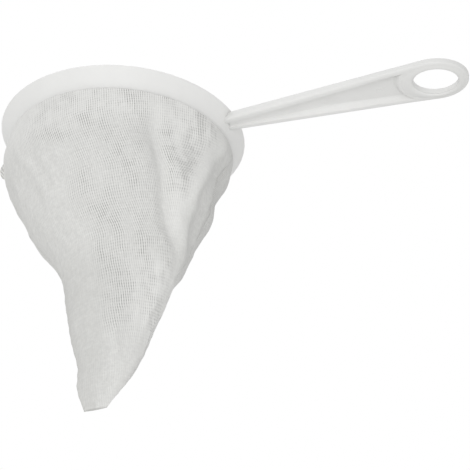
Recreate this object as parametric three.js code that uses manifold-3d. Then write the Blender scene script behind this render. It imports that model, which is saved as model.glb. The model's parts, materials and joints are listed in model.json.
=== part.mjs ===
// Flannel strainer: a moulded hoop with a channel handle, a clamp ring and a sewn bag.
// Millimetres, +Z up. The origin is the centre of the hoop's top edge, and the handle runs along +X.
import * as THREE from 'three';
import { mergeVertices } from 'three/addons/utils/BufferGeometryUtils.js';
import Module from 'manifold-3d';

// Hoop
const HOOP_RADIUS = 60.3; // outside, at the top edge's corner before it is eased
const HOOP_HEIGHT = 8.8;
const HOOP_TAPER = 7.3; // the outside draws in this much from top to bottom
const HOOP_WALL = 2.2; // measured level, across the cone
const HOOP_ROUND = 0.6;
const NECK_HEIGHT = 2; // upright land inside the lower edge, which grips the cloth
const RIM_WALL = 2; // what stands outside the clamp ring's seat
const SEAT_DEPTH = 1.5;

// Handle, a channel with soft sides that opens downwards
const ROOT_THICKNESS = 5;
const EYE_THICKNESS = 3.6; // reached where the eye begins
const ROOT_WIDTH = 8.8;
const ROOT_BITE = 1; // how far the root runs into the hoop's wall
const HANDLE_ROUND = 1.4;
const FLANGE_WIDTH = 1.8;
const CHANNEL_SIDE = 3.6; // width of the channel's sloping sides
const WEB_THICKNESS = 1.4;

// Hang eye at the handle's end
const EYE_REACH = 161; // from the hoop's centre to the eye's centre
const EYE_LENGTH = 32.6;
const EYE_WIDTH = 28;
const HOLE_LENGTH = 21.4;
const HOLE_WIDTH = 18.9;
const HOLE_SHIFT = 0.7; // the hole lies this far beyond the eye's centre

// Clamp ring
const RING_WALL = 1.5;
const RING_SETBACK = 1; // the ring's lower edge stops this far above the hoop's
const RING_ROUND = 0.5;

// Bag
const BAG_DEPTH = 152; // from the hoop's top edge to the tip
const BELLY_SWELL = 5; // the belly stands this far outside the mouth
const SHOULDER_DROP = 5; // from the hoop's lower edge to where the bag has swollen
const TIP_WIDTH = 10.4;
const CLOTH = 0.7;
const HEM_BEAD = 1;
const SEAM_BEAD = 1;
const SEAM_TURN = THREE.MathUtils.degToRad(17); // from the handle round to the right-hand seam
const TAIL_DEPTH = 21;
const TAIL_WIDTH = 3.6;
const TAIL_HEIGHT = 5.6;
const TAIL_THREAD = 1.1;

// Clearance that pieces keep between them
const GAP = 0.3;

// Fineness of the curves
const ROUND_STEPS = 3;
const TURN_STEPS = 60;
const PANEL_COLUMNS = 24;
const PANEL_ROWS = 22;
const CHANNEL_ROWS = 12;

// Sizes that follow from those above
const hoopBore = HOOP_RADIUS - HOOP_TAPER - HOOP_WALL;
const seatRadius = HOOP_RADIUS - RIM_WALL;
const clampRoom = HEM_BEAD + 2 * GAP;
const ringRadius = hoopBore - clampRoom;
const ringBore = ringRadius - RING_WALL;
const clothLine = hoopBore - clampRoom / 2;
const mouthRadius = clothLine + CLOTH / 2;
const bellyRadius = mouthRadius + BELLY_SWELL;
const clothTop = SEAT_DEPTH + HEM_BEAD + GAP;
const seamRoom = SEAM_BEAD / 2 + GAP;
const tipHalfDepth = CLOTH + GAP;
const eyeStart = EYE_REACH - EYE_LENGTH / 2;

// The bag's form, from the hoop's lower edge to the tip: half width from seam to seam, half depth
// from front to back, depth below the hoop's top edge. It swells, draws in and ends flat.
const bagForm = new THREE.CatmullRomCurve3([
  new THREE.Vector3(mouthRadius, mouthRadius, HOOP_HEIGHT),
  new THREE.Vector3(0.98 * bellyRadius, 0.99 * bellyRadius, HOOP_HEIGHT + SHOULDER_DROP),
  new THREE.Vector3(0.99 * bellyRadius, 0.97 * bellyRadius, 0.16 * BAG_DEPTH),
  new THREE.Vector3(0.79 * bellyRadius, 0.76 * bellyRadius, 0.36 * BAG_DEPTH),
  new THREE.Vector3(0.51 * bellyRadius, 0.49 * bellyRadius, 0.54 * BAG_DEPTH),
  new THREE.Vector3(0.37 * bellyRadius, 0.32 * bellyRadius, 0.71 * BAG_DEPTH),
  new THREE.Vector3(0.22 * bellyRadius, 0.15 * bellyRadius, 0.88 * BAG_DEPTH),
  new THREE.Vector3(TIP_WIDTH / 2, tipHalfDepth, BAG_DEPTH),
]);

// The bag leans to the handle's side below its belly.
const LEAN = 4.4;

// Main folds: azimuth at the top and at the bottom, depths, how far the cloth moves and how wide.
const FOLDS = [
  { from: -52, to: 12, top: 14, bottom: 84, height: -4, width: 7 },
  { from: -16, to: 10, top: 18, bottom: 84, height: 3, width: 7 },
  { from: 26, to: 34, top: 9, bottom: 80, height: -6.5, width: 17 },
  { from: -122, to: -110, top: 24, bottom: 62, height: -1.5, width: 6 },
  { from: 95, to: 75, top: 16, bottom: 90, height: -4, width: 9 },
  { from: 140, to: 120, top: 14, bottom: 90, height: 3, width: 9 },
];

const wasm = await Module();
wasm.setup();

/** A closed outline from corners [x, y, round], with each corner eased by a curve. */
function easedOutline(corners) {
  const path = new THREE.Path();
  corners.forEach(([x, y, round], index) => {
    const corner = new THREE.Vector2(x, y);
    const last = new THREE.Vector2(...corners.at(index - 1));
    const next = new THREE.Vector2(...corners[(index + 1) % corners.length]);
    const enter = last.sub(corner).setLength(round).add(corner);
    const leave = next.sub(corner).setLength(round).add(corner);
    if (index === 0) {
      path.moveTo(enter.x, enter.y);
    } else {
      path.lineTo(enter.x, enter.y);
    }
    path.quadraticCurveTo(x, y, leave.x, leave.y);
  });
  path.closePath();
  return path.getPoints(ROUND_STEPS);
}

/** Turns a closed outline of [radius, height] about the Z axis. */
function turned(corners) {
  return new THREE.LatheGeometry(easedOutline(corners), TURN_STEPS).rotateX(Math.PI / 2);
}

/** The solid that a geometry bounds, for joining and cutting. */
function solidOf(geometry) {
  const bare = geometry.clone();
  bare.deleteAttribute('normal');
  bare.deleteAttribute('uv');
  const merged = mergeVertices(bare, 1e-4);
  const mesh = new wasm.Mesh({
    numProp: 3,
    vertProperties: new Float32Array(merged.attributes.position.array),
    triVerts: new Uint32Array(merged.index.array),
  });
  return new wasm.Manifold(mesh);
}

/** The geometry of a solid. */
function geometryOf(solid) {
  const mesh = solid.getMesh();
  const geometry = new THREE.BufferGeometry();
  geometry.setAttribute('position', new THREE.BufferAttribute(new Float32Array(mesh.vertProperties), 3));
  geometry.setIndex(new THREE.BufferAttribute(new Uint32Array(mesh.triVerts), 1));
  geometry.computeVertexNormals();
  return geometry;
}

/** A moulded plate: an outline extruded from one height to another, with eased edges. */
function plate(shape, bottom, top, ease) {
  const geometry = new THREE.ExtrudeGeometry(shape, {
    depth: top - bottom - 2 * ease,
    bevelEnabled: ease > 0,
    bevelSize: ease,
    bevelOffset: -ease,
    bevelThickness: ease,
    bevelSegments: ROUND_STEPS,
    curveSegments: 24,
  });
  return geometry.translate(0, 0, bottom + ease);
}

/** How far the hoop's outside lies from its axis at a depth below the top edge. */
function hoopOutside(depth) {
  return HOOP_RADIUS - HOOP_TAPER * depth / HOOP_HEIGHT;
}

/** The hoop's cone, with the seat for the clamp ring's lip in its top and the neck at its foot. */
function hoop() {
  return turned([
    [hoopBore, -HOOP_HEIGHT, 0.5],
    [hoopOutside(HOOP_HEIGHT), -HOOP_HEIGHT, 0.7],
    [HOOP_RADIUS, 0, HOOP_ROUND],
    [seatRadius, 0, 0],
    [seatRadius, -SEAT_DEPTH, 0],
    [hoopOutside(SEAT_DEPTH) - HOOP_WALL, -SEAT_DEPTH, 0],
    [hoopBore, NECK_HEIGHT - HOOP_HEIGHT, 0.5],
  ]);
}

/**
 * The handle's sides, drawn in by an inset: half the root's width, the eye's half axes, and the
 * angle on the eye where a side from the root touches it.
 */
function handleSides(inset) {
  const half = ROOT_WIDTH / 2 - inset;
  const across = EYE_LENGTH / 2 - inset;
  const up = EYE_WIDTH / 2 - inset;
  const root = new THREE.Vector2((HOOP_RADIUS - EYE_REACH) / across, half / up);
  const touch = root.angle() - Math.acos(1 / root.length());
  return { half, across, up, touch };
}

/** The handle's outline, from the hoop's wall round the eye, with the hang hole. */
function handleOutline() {
  const { half, across, up, touch } = handleSides(0);
  const start = hoopOutside(ROOT_THICKNESS) - ROOT_BITE - 2 * HANDLE_ROUND;
  const shape = new THREE.Shape();
  shape.moveTo(start, half);
  shape.lineTo(start, -half);
  shape.absellipse(EYE_REACH, 0, across, up, -touch, touch, false);
  shape.closePath();
  const hole = new THREE.Path();
  hole.absellipse(EYE_REACH + HOLE_SHIFT, 0, HOLE_LENGTH / 2, HOLE_WIDTH / 2, 0, 2 * Math.PI, true);
  shape.holes.push(hole);
  return shape;
}

/** How thick the handle is at a place along it. */
function thicknessAt(x) {
  return THREE.MathUtils.mapLinear(
    THREE.MathUtils.clamp(x, HOOP_RADIUS, eyeStart), HOOP_RADIUS, eyeStart, ROOT_THICKNESS, EYE_THICKNESS);
}

/** A solid lofted through loops of equally many points, each of which can be fanned from its first. */
function lofted(loops) {
  const count = loops[0].length;
  const index = [];
  for (let loop = 0; loop < loops.length - 1; loop += 1) {
    for (let at = 0; at < count; at += 1) {
      const here = loop * count + at;
      const beside = loop * count + (at + 1) % count;
      index.push(here, beside, here + count, beside, beside + count, here + count);
    }
  }
  const last = (loops.length - 1) * count;
  for (let at = 1; at < count - 1; at += 1) {
    index.push(0, at + 1, at, last, last + at, last + at + 1);
  }
  const geometry = new THREE.BufferGeometry();
  geometry.setAttribute('position', new THREE.Float32BufferAttribute(loops.flat(2), 3));
  geometry.setIndex(index);
  return geometry;
}

/** The room of the channel: it widens from the hoop, with soft sides, and ends at the eye's ring. */
function channel() {
  const { half, across, up, touch } = handleSides(FLANGE_WIDTH);
  const end = EYE_REACH + across * Math.cos(touch);
  const below = -2 * ROOT_THICKNESS;
  const shares = Array.from({ length: 2 * ROUND_STEPS + 1 }, (_, step) => step / (2 * ROUND_STEPS));
  const height = (share, x) => THREE.MathUtils.lerp(
    -thicknessAt(x) - GAP, -WEB_THICKNESS, THREE.MathUtils.smoothstep(share, 0, 1));
  const loops = [];
  for (let row = 0; row <= CHANNEL_ROWS; row += 1) {
    const x = THREE.MathUtils.lerp(hoopOutside(HOOP_HEIGHT), end, row / CHANNEL_ROWS);
    const wide = THREE.MathUtils.mapLinear(x, HOOP_RADIUS, end, half, up * Math.sin(touch));
    const slope = Math.min(CHANNEL_SIDE, 0.98 * wide);
    const side = shares.map((share) => new THREE.Vector2(wide - share * slope, height(share, x)));
    const far = side.map((point) => [x, point.x, point.y]);
    const near = side.map((point) => [x, -point.x, point.y]).reverse();
    loops.push([[x, -wide, below], [x, wide, below], ...far, ...near]);
  }
  const edge = EYE_LENGTH / 2;
  const out = (share) => edge + share * CHANNEL_SIDE;
  const flare = shares.map((share) => new THREE.Vector2(out(share), height(share, EYE_REACH)));
  const profile = [new THREE.Vector2(0, below), new THREE.Vector2(edge, below), ...flare];
  profile.push(new THREE.Vector2(out(1), 0), new THREE.Vector2(0, 0));
  const ring = new THREE.LatheGeometry(profile, TURN_STEPS).rotateX(Math.PI / 2);
  ring.scale(1, EYE_WIDTH / EYE_LENGTH, 1).translate(EYE_REACH, 0, 0);
  return solidOf(lofted(loops)).subtract(solidOf(ring));
}

/** Thins a length of the handle from its root to the eye, under its level top face. */
function thinned(solid) {
  const geometry = geometryOf(solid);
  const points = geometry.attributes.position;
  for (let index = 0; index < points.count; index += 1) {
    points.setZ(index, points.getZ(index) * thicknessAt(points.getX(index)) / ROOT_THICKNESS);
  }
  return solidOf(geometry);
}

function hoopHandle() {
  const blank = solidOf(plate(handleOutline(), -ROOT_THICKNESS, 0, HANDLE_ROUND));
  const [eye, bar] = blank.splitByPlane([1, 0, 0], eyeStart);
  const inside = new THREE.CylinderGeometry(
    HOOP_RADIUS - ROOT_BITE, hoopOutside(HOOP_HEIGHT) - ROOT_BITE, HOOP_HEIGHT, TURN_STEPS);
  inside.rotateX(Math.PI / 2).translate(0, 0, -HOOP_HEIGHT / 2);
  const handle = thinned(bar).subtract(solidOf(inside)).add(thinned(eye));
  return geometryOf(handle.subtract(channel()).add(solidOf(hoop())));
}

function clampRing() {
  const lip = SEAT_DEPTH - GAP;
  return turned([
    [ringBore, -HOOP_HEIGHT + RING_SETBACK, RING_ROUND],
    [ringRadius, -HOOP_HEIGHT + RING_SETBACK, RING_ROUND],
    [ringRadius, -lip, 0],
    [seatRadius - GAP, -lip, 0],
    [seatRadius - GAP, 0, 0],
    [ringBore, 0, RING_ROUND],
  ]);
}

/** How far the folds move the cloth outwards at an azimuth, in degrees, and a depth. */
function foldAt(azimuth, depth, radius) {
  let moved = 0;
  for (const { from, to, top, bottom, height, width } of FOLDS) {
    const along = THREE.MathUtils.clamp((depth - top) / (bottom - top), 0, 1);
    const centre = THREE.MathUtils.lerp(from, to, along * along);
    const turn = THREE.MathUtils.euclideanModulo(azimuth - centre + 180, 360) - 180;
    const away = THREE.MathUtils.degToRad(turn) * radius;
    moved += height * Math.sin(Math.PI * along) * Math.exp(-((away / width) ** 2));
  }
  return moved;
}

/** The bag's form at a row, which counts from the cloth's top edge. */
function formAt(row) {
  return bagForm.getPoint(Math.max(row - 1, 0) / (PANEL_ROWS - 1));
}

/**
 * A point of the bag. side is the angle from the right-hand seam, negative over the front, row
 * counts from the cloth's top edge, and inset is the depth below the outer face of the cloth.
 */
function bagPoint(side, row, inset) {
  const form = formAt(row);
  const depth = row < 1 ? THREE.MathUtils.lerp(clothTop, form.z, row) : form.z;
  const below = THREE.MathUtils.smoothstep(depth, 0.2 * BAG_DEPTH, 0.55 * BAG_DEPTH);
  const fade = 1 - THREE.MathUtils.smoothstep(depth, 0.8 * BAG_DEPTH, BAG_DEPTH);
  const azimuth = THREE.MathUtils.radToDeg(side + SEAM_TURN);
  const fold = foldAt(azimuth, depth, form.x) - inset;
  const local = new THREE.Vector3(
    (form.x + fold) * Math.cos(side) + LEAN * below * fade,
    (form.y + fold) * Math.sin(side),
    -depth,
  );
  return local.applyAxisAngle(new THREE.Vector3(0, 0, 1), SEAM_TURN);
}

/** One panel of cloth, from the right-hand seam over the front (-1) or the back (1) to the left. */
function panel(way) {
  const positions = [];
  const index = [];
  const wide = PANEL_COLUMNS + 1;
  const layer = wide * (PANEL_ROWS + 1);
  for (const inset of [0, CLOTH]) {
    for (let row = 0; row <= PANEL_ROWS; row += 1) {
      const trim = Math.asin(GAP / 2 / (formAt(row).y - inset));
      for (let column = 0; column <= PANEL_COLUMNS; column += 1) {
        const side = THREE.MathUtils.lerp(trim, Math.PI - trim, column / PANEL_COLUMNS);
        positions.push(...bagPoint(way * side, row, inset));
      }
    }
  }
  const quad = (a, b, c, d) => (way > 0 ? index.push(a, c, b, b, c, d) : index.push(a, b, c, b, d, c));
  for (let row = 0; row < PANEL_ROWS; row += 1) {
    for (let column = 0; column < PANEL_COLUMNS; column += 1) {
      const at = row * wide + column;
      quad(at, at + 1, at + wide, at + wide + 1);
      quad(layer + at + 1, layer + at, layer + at + wide + 1, layer + at + wide);
    }
    const left = row * wide + PANEL_COLUMNS;
    quad(layer + row * wide, row * wide, layer + (row + 1) * wide, (row + 1) * wide);
    quad(left, layer + left, left + wide, layer + left + wide);
  }
  const end = PANEL_ROWS * wide;
  for (let column = 0; column < PANEL_COLUMNS; column += 1) {
    quad(column + 1, column, layer + column + 1, layer + column);
    quad(end + column, end + column + 1, layer + end + column, layer + end + column + 1);
  }
  const geometry = new THREE.BufferGeometry();
  geometry.setAttribute('position', new THREE.Float32BufferAttribute(positions, 3));
  geometry.setIndex(index);
  geometry.computeVertexNormals();
  return geometry;
}

/** How far inside the cloth's outer face the seam runs at a row: as far out as the fold leaves room. */
function seamInset(row) {
  const form = formAt(row);
  const wide = form.x - CLOTH;
  const fits = wide * Math.sqrt(1 - (seamRoom / (form.y - CLOTH)) ** 2);
  return form.x - Math.min(wide - seamRoom, fits);
}

/** The seam inside the bag: down the left edge, across the tip and up the right edge. */
function sideSeam() {
  let last = PANEL_ROWS;
  while (formAt(last).y < CLOTH + seamRoom + GAP) {
    last -= 0.02;
  }
  const first = 1.4;
  const steps = PANEL_ROWS - 1;
  const spaced = (index) => THREE.MathUtils.lerp(first, last, index / (steps - 1));
  const rows = Array.from({ length: steps }, (_, index) => spaced(index));
  const onEdge = (side, row) => bagPoint(side, row, seamInset(row));
  const left = rows.map((row) => onEdge(Math.PI, row));
  const right = rows.map((row) => onEdge(0, row)).reverse();
  const path = new THREE.CatmullRomCurve3([...left, ...right]);
  const bead = new THREE.Shape();
  bead.absarc(0, 0, SEAM_BEAD / 2, 0, 2 * Math.PI, false);
  return new THREE.ExtrudeGeometry(bead, { extrudePath: path, steps: 60, curveSegments: 3 });
}

/** The overlocked mouth edge, which lies on the cloth's top edge under the ring's lip. */
function hemOverlock() {
  const bead = new THREE.TorusGeometry(clothLine, HEM_BEAD / 2, 6, TURN_STEPS);
  return bead.translate(0, 0, -SEAT_DEPTH - HEM_BEAD / 2);
}

/** The loop of seam end that stands out of the left-hand edge under the hoop. */
function seamTail() {
  const radius = (TAIL_WIDTH - TAIL_THREAD) / 2;
  const stretch = (TAIL_HEIGHT - TAIL_THREAD) / (TAIL_WIDTH - TAIL_THREAD);
  const loop = new THREE.TorusGeometry(radius, TAIL_THREAD / 2, 6, 20).scale(1, stretch, 1);
  let row = 1;
  while (formAt(row).z < TAIL_DEPTH) {
    row += 0.05;
  }
  const edge = bagPoint(Math.PI, row, 0);
  const reach = Math.hypot(edge.x, edge.y) + GAP + TAIL_WIDTH / 2;
  loop.rotateX(Math.PI / 2).translate(-reach, 0, -TAIL_DEPTH);
  return loop.rotateZ(SEAM_TURN);
}

const MOULDED = { color: 0xe9e9e8, roughness: 0.45, metalness: 0 };
const FLANNEL = { color: 0xdcdbd8, roughness: 0.95, metalness: 0 };
const THREAD = { color: 0xe2e1de, roughness: 0.9, metalness: 0 };

const strainer = new THREE.Group();

/** Adds a named piece with its own material. */
function add(name, geometry, finish) {
  const mesh = new THREE.Mesh(geometry, new THREE.MeshStandardMaterial(finish));
  mesh.name = name;
  strainer.add(mesh);
}

add('hoop_handle', hoopHandle(), MOULDED);
add('clamp_ring', clampRing(), MOULDED);
add('front_panel', panel(-1), FLANNEL);
add('back_panel', panel(1), FLANNEL);
add('side_seam', sideSeam(), THREAD);
add('hem_overlock', hemOverlock(), THREAD);
add('seam_tail', seamTail(), THREAD);

export default strainer;
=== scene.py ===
"""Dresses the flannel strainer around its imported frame: finishes, sewn bag, studio and camera."""

import json
import logging
import math
from dataclasses import dataclass
from enum import Enum
from typing import Any

import bpy
import numpy as np
from mathutils import Matrix, Vector, noise

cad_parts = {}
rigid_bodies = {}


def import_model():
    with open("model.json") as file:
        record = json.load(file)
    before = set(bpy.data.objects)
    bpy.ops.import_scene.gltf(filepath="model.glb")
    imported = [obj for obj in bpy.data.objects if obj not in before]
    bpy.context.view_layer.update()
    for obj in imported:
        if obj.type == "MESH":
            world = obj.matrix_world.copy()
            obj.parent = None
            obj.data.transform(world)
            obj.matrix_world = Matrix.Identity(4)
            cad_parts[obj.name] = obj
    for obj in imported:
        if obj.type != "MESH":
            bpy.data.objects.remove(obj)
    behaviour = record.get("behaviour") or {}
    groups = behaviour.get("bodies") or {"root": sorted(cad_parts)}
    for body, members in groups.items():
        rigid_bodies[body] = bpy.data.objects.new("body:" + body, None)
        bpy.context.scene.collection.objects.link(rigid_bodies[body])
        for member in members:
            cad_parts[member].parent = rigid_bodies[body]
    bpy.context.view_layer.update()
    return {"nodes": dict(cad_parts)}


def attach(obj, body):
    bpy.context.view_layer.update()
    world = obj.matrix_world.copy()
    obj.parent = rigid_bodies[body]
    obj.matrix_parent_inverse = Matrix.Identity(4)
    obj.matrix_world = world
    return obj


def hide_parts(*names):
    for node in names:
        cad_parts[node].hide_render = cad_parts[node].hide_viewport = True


for leftover in list(bpy.data.objects):
    bpy.data.objects.remove(leftover)
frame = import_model()

log = logging.getLogger("strainer")

MM = 0.001
FULL_TURN = 2 * math.pi

# The vertices of a mesh, in metres, and the vertex indices of each face.
MeshParts = tuple[np.ndarray, list[tuple[int, ...]]]
Span = tuple[float, float]


def linear(code: str) -> tuple[float, float, float, float]:
    """Turns a colour from sRGB hex to linear.

    Args:
        code: six hex digits.

    Returns:
        Linear red, green, blue and an alpha of one.
    """
    parts = [int(code[at:at + 2], 16) / 255 for at in (0, 2, 4)]
    red, green, blue = (p / 12.92 if p <= 0.04045 else ((p + 0.055) / 1.055) ** 2.4 for p in parts)
    return red, green, blue, 1.0


def add_node(tree: bpy.types.NodeTree, kind: str, inputs: dict[Any, Any] | None = None,
             **settings: Any) -> bpy.types.Node:
    """Adds a node with its settings and links.

    Args:
        tree: node tree that takes the node.
        kind: Blender's name for the node type.
        inputs: input socket, by name or index, to a constant, an output socket, or a node whose
            first output in use is meant.
        settings: values of the node's own properties.

    Returns:
        The new node.
    """
    node = tree.nodes.new(kind)
    for name, value in settings.items():
        setattr(node, name, value)
    for socket, value in (inputs or {}).items():
        if isinstance(value, bpy.types.Node):
            value = next(output for output in value.outputs if output.enabled)
        if isinstance(value, bpy.types.NodeSocket):
            tree.links.new(value, node.inputs[socket])
        else:
            node.inputs[socket].default_value = value
    return node


def empty_material(name: str) -> bpy.types.Material:
    """Makes a material whose node tree holds nothing yet.

    Args:
        name: the real material and how its surface was made.

    Returns:
        The material.
    """
    material = bpy.data.materials.new(name)
    material.use_nodes = True
    material.node_tree.nodes.clear()
    return material


def rays_that_show(tree: bpy.types.NodeTree) -> bpy.types.Node:
    """Tells rays that show a surface, also in gloss and glass, from rays that carry its light on.

    Args:
        tree: node tree of the floor's material or of the world.

    Returns:
        A node that gives 1 for camera, glossy and transmission rays, and 0 for others.
    """
    path = add_node(tree, "ShaderNodeLightPath")
    seen = path.outputs["Is Camera Ray"]
    for kind in ("Is Glossy Ray", "Is Transmission Ray"):
        seen = add_node(tree, "ShaderNodeMath", {0: seen, 1: path.outputs[kind]}, operation="MAXIMUM")
    return seen


def piece_from(name: str, parts: MeshParts, material: bpy.types.Material) -> bpy.types.Object:
    """Makes a smooth-shaded mesh object.

    Args:
        name: name of the piece.
        parts: its vertices and faces.
        material: finish of the whole piece.

    Returns:
        The object, linked into the scene.
    """
    points, faces = parts
    mesh = bpy.data.meshes.new(name)
    mesh.from_pydata(points.tolist(), [], faces)
    mesh.polygons.foreach_set("use_smooth", [True] * len(mesh.polygons))
    mesh.materials.append(material)
    mesh.update()
    piece = bpy.data.objects.new(name, mesh)
    bpy.context.scene.collection.objects.link(piece)
    return piece


def smooth_through(places: np.ndarray, values: np.ndarray, at: np.ndarray) -> np.ndarray:
    """Runs a smooth cubic through stations.

    Args:
        places: increasing places of the stations.
        values: value at each station.
        at: places that are asked for.

    Returns:
        The value at each place that is asked for.
    """
    slope = np.gradient(values, places)
    left = np.clip(np.searchsorted(places, at) - 1, 0, len(places) - 2)
    span = places[left + 1] - places[left]
    t = np.clip((at - places[left]) / span, 0, 1)
    start = (2 * t**3 - 3 * t**2 + 1) * values[left] + (t**3 - 2 * t**2 + t) * span * slope[left]
    end = (3 * t**2 - 2 * t**3) * values[left + 1] + (t**3 - t**2) * span * slope[left + 1]
    return start + end


def rising(value: np.ndarray, low: float, high: float) -> np.ndarray:
    """Rises smoothly from 0 at low to 1 at high, which may be the smaller of the two."""
    t = np.clip((value - low) / (high - low), 0, 1)
    return t * t * (3 - 2 * t)


def falling(value: np.ndarray, low: float, high: float) -> np.ndarray:
    """Falls smoothly from 1 at low to 0 at high."""
    return 1 - rising(value, low, high)


def wrapped(degrees: np.ndarray) -> np.ndarray:
    """Brings angles into half a turn either way, from -180 to 180 degrees."""
    return (degrees + 180) % 360 - 180


def bar(sections: np.ndarray, closed: bool = False) -> MeshParts:
    """Joins sections of equally many corners into a solid bar.

    Args:
        sections: corners of each section, in metres, with the coordinates last.
        closed: whether the last section joins the first, and the bar has no ends.

    Returns:
        Vertices and faces of the bar.
    """
    count, corners = sections.shape[:2]
    faces = []
    for step in range(count if closed else count - 1):
        here, there = step * corners, (step + 1) % count * corners
        for corner in range(corners):
            other = (corner + 1) % corners
            faces.append((here + corner, here + other, there + other, there + corner))
    if not closed:
        faces.append(tuple(reversed(range(corners))))
        faces.append(tuple(range((count - 1) * corners, count * corners)))
    return sections.reshape(-1, 3), faces


def tube(path: np.ndarray, radius: float, sides: int, closed: bool = False) -> MeshParts:
    """Sweeps a round thread along a path.

    Args:
        path: points of the centre line, in metres.
        radius: radius of the thread, in metres.
        sides: corners of the thread's section.
        closed: whether the path's end joins its start.

    Returns:
        Vertices and faces of the swept thread.
    """
    along = np.roll(path, -1, 0) - np.roll(path, 1, 0) if closed else np.gradient(path, axis=0)
    along /= np.linalg.norm(along, axis=1)[:, None]
    across = np.zeros_like(path)
    # Any start that no thread here runs along keeps the section from twisting.
    guide = np.array([0.31, 0.42, 0.85])
    for step, heading in enumerate(along):
        guide = guide - heading * (guide @ heading)
        guide /= np.linalg.norm(guide)
        across[step] = guide
    beside = np.cross(along, across)
    turn = (np.arange(sides) * FULL_TURN / sides)[None, :, None]
    ring = np.cos(turn) * across[:, None] + np.sin(turn) * beside[:, None]
    return bar(path[:, None] + radius * ring, closed)


def joined(parts: list[MeshParts]) -> MeshParts:
    """Puts several lots of vertices and faces into one.

    Args:
        parts: the lots, in the order that they keep.

    Returns:
        All vertices, and all faces with their indices moved on.
    """
    faces: list[tuple[int, ...]] = []
    start = 0
    for points, some_faces in parts:
        faces.extend(tuple(start + corner for corner in face) for face in some_faces)
        start += len(points)
    return np.concatenate([points for points, _ in parts]), faces


@dataclass(frozen=True)
class MouldedPolypropylene:
    """Polypropylene, injection moulded in a fine eroded tool."""

    colour: str = "EBEBEA"
    cloud_colour: str = "E4E4E3"
    painted_shade_colour: str = "CDCDCB"
    cloud_mm: float = 14.0
    grain_mm: float = 0.9
    grain_height_mm: float = 0.012
    roughness: Span = (0.40, 0.54)
    ior: float = 1.49
    corner_mm: float = 8.0
    corner_light: Span = (0.4, 0.9)
    corner_shade_share: float = 0.8
    falloff_shade_mm: Span = (115.0, 178.0)
    falloff_shade_share: float = 0.26

    def material(self) -> bpy.types.Material:
        """Makes the material.

        Returns:
            The finish of the hoop, the handle and the clamp ring.
        """
        # It shows a satin white that is a little cloudy and has soft, broad highlights.
        made = empty_material("polypropylene_moulded_white")
        tree = made.node_tree
        place = add_node(tree, "ShaderNodeTexCoord").outputs["Object"]
        # Flow in the mould leaves faint clouds of denser and thinner white.
        cloud = add_node(tree, "ShaderNodeTexNoise", {
            "Vector": place, "Scale": 1 / (self.cloud_mm * MM), "Detail": 3.0, "Roughness": 0.55})
        clouded = add_node(tree, "ShaderNodeMix", {
            "Factor": cloud, "A": linear(self.cloud_colour), "B": linear(self.colour)}, data_type="RGBA")
        # Painted shade: ambient occlusion greys the inside corners and recesses slightly.
        corner = add_node(tree, "ShaderNodeAmbientOcclusion", {
            "Distance": self.corner_mm * MM}, samples=8, only_local=True)
        corner_shade = add_node(tree, "ShaderNodeMapRange", {
            "Value": corner.outputs["AO"], "From Min": self.corner_light[0],
            "From Max": self.corner_light[1], "To Min": self.corner_shade_share, "To Max": 0.0})
        # Painted shade: the handle is painted greyer towards its eye, where the light falls off.
        along = add_node(tree, "ShaderNodeSeparateXYZ", {"Vector": place}).outputs["X"]
        falloff_shade = add_node(tree, "ShaderNodeMapRange", {
            "Value": along, "From Min": self.falloff_shade_mm[0] * MM, "From Max": self.falloff_shade_mm[1] * MM,
            "To Min": 0.0, "To Max": self.falloff_shade_share})
        painted_shade = add_node(tree, "ShaderNodeMath", {0: corner_shade, 1: falloff_shade}, operation="ADD", use_clamp=True)
        colour = add_node(tree, "ShaderNodeMix", {
            "Factor": painted_shade, "A": clouded, "B": linear(self.painted_shade_colour)}, data_type="RGBA")
        # The eroded tool's grain is about 0.1 mm. It is drawn coarser, so that it shows.
        grain = add_node(tree, "ShaderNodeTexNoise", {
            "Vector": place, "Scale": 1 / (self.grain_mm * MM), "Detail": 2.0})
        rough = add_node(tree, "ShaderNodeMapRange", {
            "Value": grain, "From Min": 0.3, "From Max": 0.7,
            "To Min": self.roughness[0], "To Max": self.roughness[1]})
        bump = add_node(tree, "ShaderNodeBump", {
            "Height": grain, "Strength": 0.5, "Distance": self.grain_height_mm * MM})
        shader = add_node(tree, "ShaderNodeBsdfPrincipled", {
            "Base Color": colour, "Roughness": rough, "IOR": self.ior, "Normal": bump})
        add_node(tree, "ShaderNodeOutputMaterial", {"Surface": shader})
        return made


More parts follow.
